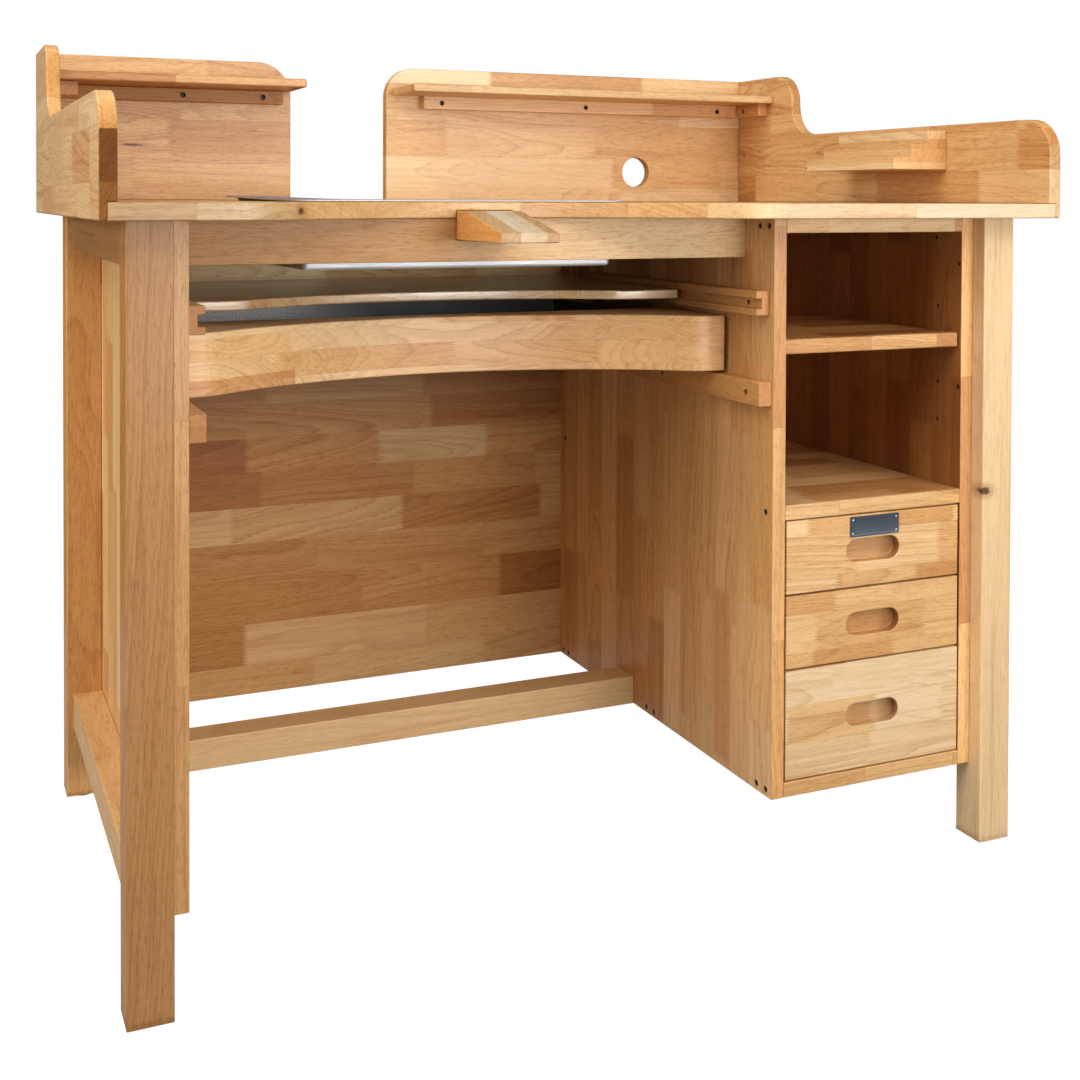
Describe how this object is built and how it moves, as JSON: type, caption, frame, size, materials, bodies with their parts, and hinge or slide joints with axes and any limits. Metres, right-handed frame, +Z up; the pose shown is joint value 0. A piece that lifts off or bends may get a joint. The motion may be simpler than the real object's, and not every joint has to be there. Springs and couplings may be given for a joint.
{
  "type": "jewelers bench",
  "caption": "Free-standing jeweller's bench in laminated hardwood: belly-cut top with gallery, drop-in pan, bench pin, pull-out board, sweeps tray and a drawer cabinet.",
  "frame": {"origin": "on the floor under the middle of the bench's outline", "axes": "+X to the sitter's right, +Y to the back of the bench, +Z up"},
  "size_m": [1.416, 0.921, 1.251],
  "materials": {
    "wood": "satin lacquered finger-jointed hardwood",
    "inner_wood": "satin lacquered wood, paler, inside faces",
    "pan_steel": "brushed sheet steel",
    "tray_metal": "dark speckled sheet metal",
    "glide": "black plastic glide"
  },
  "bodies": {
    "frame": {"front_left_leg": "wood", "front_right_leg": "wood", "rear_left_leg": "wood", "rear_right_leg": "wood", "left_side_apron": "wood", "right_side_apron": "wood", "left_side_stretcher": "wood", "right_side_stretcher": "wood", "left_side_panel": "wood", "knee_back_panel": "wood", "knee_stretcher": "wood", "front_apron": "wood", "table_top": "wood", "left_gallery_end": "wood", "right_gallery_end": "wood", "left_back_board": "wood", "right_back_board": "wood", "left_ledge": "wood", "right_ledge": "wood", "left_ledge_cleat": "wood", "right_ledge_cleat": "wood", "left_side_cleat": "wood", "right_side_cleat": "wood", "stepped_tool_rest": "wood", "cabinet_left_side": "wood", "cabinet_right_side": "wood", "cabinet_top": "wood", "cabinet_bottom": "wood", "fixed_shelf": "wood", "adjustable_shelf": "wood", "upper_left_rail": "wood", "upper_right_rail": "wood", "lower_left_rail": "wood", "lower_right_rail": "wood", "drawer_1_left_runner": "wood", "drawer_1_right_runner": "wood", "drawer_2_left_runner": "wood", "drawer_2_right_runner": "wood", "front_left_foot": "glide", "front_right_foot": "glide", "rear_left_foot": "glide", "rear_right_foot": "glide", "cabinet_back": "inner_wood"},
    "pull_out_board": {"pull_out_board": "wood"},
    "sweeps_tray": {"tray_front": "wood", "tray_left_side": "inner_wood", "tray_right_side": "inner_wood", "tray_back": "inner_wood", "tray_liner": "tray_metal"},
    "drawer_1": {"drawer_1_front": "wood", "drawer_1_box": "inner_wood", "drawer_1_bottom": "inner_wood"},
    "drawer_2": {"drawer_2_front": "wood", "drawer_2_box": "inner_wood", "drawer_2_bottom": "inner_wood"},
    "drawer_3": {"drawer_3_front": "wood", "drawer_3_box": "inner_wood", "drawer_3_bottom": "inner_wood"},
    "bench_pin": {"bench_pin": "wood"},
    "drop_in_pan": {"drop_in_pan": "pan_steel"}
  },
  "joints": [
    {"name": "pull_out_board_slide", "type": "slide", "parent": "frame", "child": "pull_out_board", "axis": [0, -1, 0], "range_m": [0, 0.4]},
    {"name": "sweeps_tray_slide", "type": "slide", "parent": "frame", "child": "sweeps_tray", "axis": [0, -1, 0], "range_m": [0, 0.42]},
    {"name": "drawer_1_slide", "type": "slide", "parent": "frame", "child": "drawer_1", "axis": [0, -1, 0], "range_m": [0, 0.4]},
    {"name": "drawer_2_slide", "type": "slide", "parent": "frame", "child": "drawer_2", "axis": [0, -1, 0], "range_m": [0, 0.4]},
    {"name": "drawer_3_slide", "type": "slide", "parent": "frame", "child": "drawer_3", "axis": [0, -1, 0], "range_m": [0, 0.4]},
    {"name": "bench_pin_slide", "type": "slide", "parent": "frame", "child": "bench_pin", "axis": [0, -1, 0], "range_m": [0, 0.08]},
    {"name": "drop_in_pan_lift", "type": "slide", "parent": "frame", "child": "drop_in_pan", "axis": [0, 0, 1], "range_m": [0, 0.12]}
  ]
}
